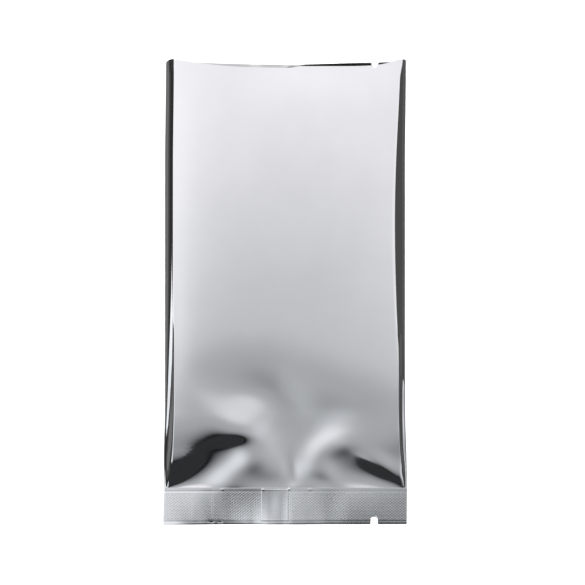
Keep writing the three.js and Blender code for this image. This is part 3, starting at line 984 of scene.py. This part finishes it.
# What the film mirrors is given by the slopes of a ray, across and along the bag: a panel
# overhead, dark flags below it and beside it, and a horizon.
# Brightness of the panel along the bag, and how much it is filled in across it.
PANEL_ALONG = ((-0.46, 30), (-0.42, 100), (-0.33, 145), (-0.25, 160), (-0.15, 168),
               (-0.10, 175), (-0.05, 193), (0.0, 210), (0.05, 220), (0.10, 229),
               (0.15, 236), (0.20, 243), (0.45, 247))
PANEL_ACROSS = ((-0.5, 0.97), (-0.4, 0.82), (-0.3, 0.69), (-0.2, 0.6), (-0.15, 0.42),
                (-0.1, 0.18), (0.0, 0.0), (0.1, 0.02), (0.2, 0.1), (0.3, 0.28),
                (0.4, 0.42), (0.5, 0.54))
LOWER_TINT = (0.973, 1.002, 1.035)  # of the light low in the panel
UPPER_TINT = (1.0, 0.986, 1.015)
SIDE_TINT = (1.02, 1.0, 0.97)
FILM_MIRROR = 0.87  # share of the light that the film gives back
PANEL_FILL = 1.0
PANEL_LEFT = -0.56
PANEL_RIGHT = 0.50
PANEL_EDGE = 0.04
PANEL_BOTTOM = -0.50
PANEL_BOTTOM_EDGE = 0.06
CURVE_REACH = 0.5  # slopes beyond it count as this one
TINT_EDGE = (-0.3, 0.2)  # slopes over which the lower tint gives way to the upper one
LEAST_RISE = 0.02  # keeps the slope of a level ray finite
FLAG_LEVEL = 0.03  # of the dark flags below and beside the panel
RIGHT_FLAG_LEVEL = 0.075
SIDE_WEDGE = 0.4  # the flags at the sides fill a wedge this steep about the X axis
OPEN_EDGE = (0.05, 0.2)  # past the wedge, over which the flags give way to the panel
END_EDGE = (-0.05, 0.15)  # and over which the dark horizon gives way to the lit one
HORIZON_LEVEL = 0.6
SIDE_HORIZON_LEVEL = 0.08
HORIZON_EDGE = (0.62, 0.28)  # rise of a ray at which the panel gives way to the horizon
NEAR_LIGHT_EDGE = (-1.1, -1.4)  # beyond these slopes the near end of the studio is lit


def curve_node(tree, slope, levels):
    """A smooth curve through the levels, which are given by slope."""
    scaled = node(tree, "ShaderNodeMapRange")
    scaled.inputs["From Min"].default_value = -CURVE_REACH
    scaled.inputs["From Max"].default_value = CURVE_REACH
    tree.links.new(slope, scaled.inputs["Value"])
    made = node(tree, "ShaderNodeFloatCurve")
    curve = made.mapping.curves[0]
    spots = [((place + CURVE_REACH) / (2 * CURVE_REACH), level) for place, level in levels]
    curve.points[0].location = spots[0]
    curve.points[1].location = spots[-1]
    for spot in spots[1:-1]:
        curve.points.new(*spot)
    made.mapping.update()
    tree.links.new(scaled.outputs["Result"], made.inputs["Value"])
    return made.outputs[0]


def studio_world():
    world = bpy.data.worlds.new("studio")
    world.use_nodes = True
    tree = world.node_tree
    tree.nodes.clear()
    direction = node(tree, "ShaderNodeSeparateXYZ")
    tree.links.new(node(tree, "ShaderNodeTexCoord").outputs["Generated"], direction.inputs[0])
    dx, dy, dz = direction.outputs
    up = math_node(tree, "MAXIMUM", dz, LEAST_RISE)
    slope_x = math_node(tree, "DIVIDE", dx, up)
    slope_y = math_node(tree, "DIVIDE", dy, up)

    along = [(place, srgb_to_linear(level) / FILM_MIRROR) for place, level in PANEL_ALONG]
    base = curve_node(tree, slope_y, along)
    fill = curve_node(tree, slope_x, PANEL_ACROSS)
    panel = blend_node(tree, fill, base, PANEL_FILL / FILM_MIRROR)

    in_left = step_node(tree, slope_x, PANEL_LEFT - PANEL_EDGE, PANEL_LEFT)
    in_right = step_node(tree, slope_x, PANEL_RIGHT + PANEL_EDGE, PANEL_RIGHT)
    above = step_node(tree, slope_y, PANEL_BOTTOM, PANEL_BOTTOM + PANEL_BOTTOM_EDGE)
    sideways = math_node(tree, "MULTIPLY", math_node(tree, "ABSOLUTE", slope_x), SIDE_WEDGE)
    past_wedge = math_node(tree, "SUBTRACT", slope_y, sideways)
    open_above = step_node(tree, past_wedge, *OPEN_EDGE)
    across = math_node(tree, "MAXIMUM", math_node(tree, "MULTIPLY", in_left, in_right),
                       open_above)
    shown = math_node(tree, "MULTIPLY", above, across)
    flags = blend_node(tree, in_right, RIGHT_FLAG_LEVEL, FLAG_LEVEL)
    lit = blend_node(tree, shown, flags, panel)

    wedge = math_node(tree, "MULTIPLY", math_node(tree, "ABSOLUTE", dx), SIDE_WEDGE)
    ends = math_node(tree, "SUBTRACT", math_node(tree, "ABSOLUTE", dy), wedge)
    rim = blend_node(tree, step_node(tree, ends, *END_EDGE), SIDE_HORIZON_LEVEL, HORIZON_LEVEL)
    near = step_node(tree, slope_y, *NEAR_LIGHT_EDGE)
    low = math_node(tree, "MAXIMUM", step_node(tree, dz, *HORIZON_EDGE), near)
    light = blend_node(tree, low, lit, rim)

    seen = node(tree, "ShaderNodeLightPath").outputs["Is Camera Ray"]
    shade = blend_node(tree, seen, light, 1.0)
    background = node(tree, "ShaderNodeBackground")
    colour = node(tree, "ShaderNodeCombineColor")
    height = step_node(tree, slope_y, *TINT_EDGE)
    tints = zip(colour.inputs, LOWER_TINT, UPPER_TINT, SIDE_TINT)
    for socket, low_tint, high_tint, side_tint in tints:
        mirrored = blend_node(tree, height, low_tint, high_tint)
        mirrored = blend_node(tree, across, side_tint, mirrored)
        tint = blend_node(tree, seen, mirrored, 1.0)
        tree.links.new(math_node(tree, "MULTIPLY", shade, tint), socket)
    tree.links.new(colour.outputs[0], background.inputs["Color"])
    tree.links.new(background.outputs[0], node(tree, "ShaderNodeOutputWorld").inputs[0])
    bpy.context.scene.world = world


FLOOR_HALF = 2500.0
FLOOR_SHADE = 0.85
FLOOR_ROUGHNESS = 0.9
# Painted shade: only where the film mirrors it is the floor painted dark, one shade to each side,
# darker on the right; to the camera it stays pale.
LEFT_PAINTED_FLOOR_SHADE = 0.062
RIGHT_PAINTED_FLOOR_SHADE = 0.035
PAINTED_SHADE_EDGE = 0.02  # metres from the middle over which they blend


def studio_floor():
    half = FLOOR_HALF
    corners = [(-half, -half, 0), (half, -half, 0), (half, half, 0), (-half, half, 0)]
    material = bpy.data.materials.new("pale_floor")
    material.use_nodes = True
    tree = material.node_tree
    shader = tree.nodes["Principled BSDF"]
    shader.inputs["Roughness"].default_value = FLOOR_ROUGHNESS
    mirrored = node(tree, "ShaderNodeLightPath").outputs["Is Glossy Ray"]
    place = node(tree, "ShaderNodeSeparateXYZ")
    tree.links.new(node(tree, "ShaderNodeTexCoord").outputs["Object"], place.inputs[0])
    on_right = step_node(tree, place.outputs[0], -PAINTED_SHADE_EDGE, PAINTED_SHADE_EDGE)
    # painted shade of the floor, seen only in the film's mirror, darker to the right of the middle
    painted_shade = blend_node(tree, on_right, LEFT_PAINTED_FLOOR_SHADE, RIGHT_PAINTED_FLOOR_SHADE)
    shade = blend_node(tree, mirrored, FLOOR_SHADE, painted_shade)
    colour = node(tree, "ShaderNodeCombineColor")
    for socket in colour.inputs:
        tree.links.new(shade, socket)
    tree.links.new(colour.outputs[0], shader.inputs["Base Color"])
    floor = mesh_object("floor", corners, [(0, 1, 2, 3)], [material])


FILL_WIDTH = 2.0  # metres, as the height
FILL_HEIGHT = 1.4
FILL_WATTS = 60.0


def floor_light():
    """A broad soft light that fills the floor and isn't mirrored in the film."""
    data = bpy.data.lights.new("floor_fill", "AREA")
    data.shape = "DISK"
    data.size = FILL_WIDTH
    data.energy = FILL_WATTS
    lamp = bpy.data.objects.new("floor_fill", data)
    lamp.location = (0, 0, FILL_HEIGHT)
    lamp.visible_glossy = False
    bpy.context.scene.collection.objects.link(lamp)


def photo_camera():
    half_field = PHOTO_SIZE / PHOTO_SCALE / 2
    data = bpy.data.cameras.new("camera")
    data.sensor_width = SENSOR
    data.lens = SENSOR / 2 * (CAMERA_HEIGHT - SIDE_HEIGHT) / half_field
    data.clip_end = CLIP_END
    camera = bpy.data.objects.new("camera", data)
    camera.location = (CAMERA_X * MM, CAMERA_Y * MM, CAMERA_HEIGHT * MM)
    bpy.context.scene.collection.objects.link(camera)
    bpy.context.scene.camera = camera


# ---- The bag in the studio ----

outside_film = film_material("bright_film", tint=(0.87, 0.875, 0.89), roughness=0.05,
                             roughness_swing=0.03, grain=900.0, grain_depth=0.0006)
inside_film = film_material("inner_film", tint=(0.82, 0.81, 0.805), roughness=0.2,
                            roughness_swing=0.1, grain=700.0, grain_depth=0.001)
pressed_film = film_material("pressed_film", tint=(0.845, 0.862, 0.877), roughness=0.16,
                             roughness_swing=0.1, grain=1500.0, grain_depth=0.002)

tube = film_tube(outside_film, inside_film)
cut(tube, band_notch_outline())
cut(tube, mouth_notch_outline())
smooth(tube, SHARP_ANGLE)
band = seal_band(pressed_film)
cut(band, band_notch_outline())

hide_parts("bag")
for piece in (tube, band):
    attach(piece, "root")

studio_world()
studio_floor()
floor_light()
photo_camera()
bpy.context.scene.view_settings.view_transform = "Standard"
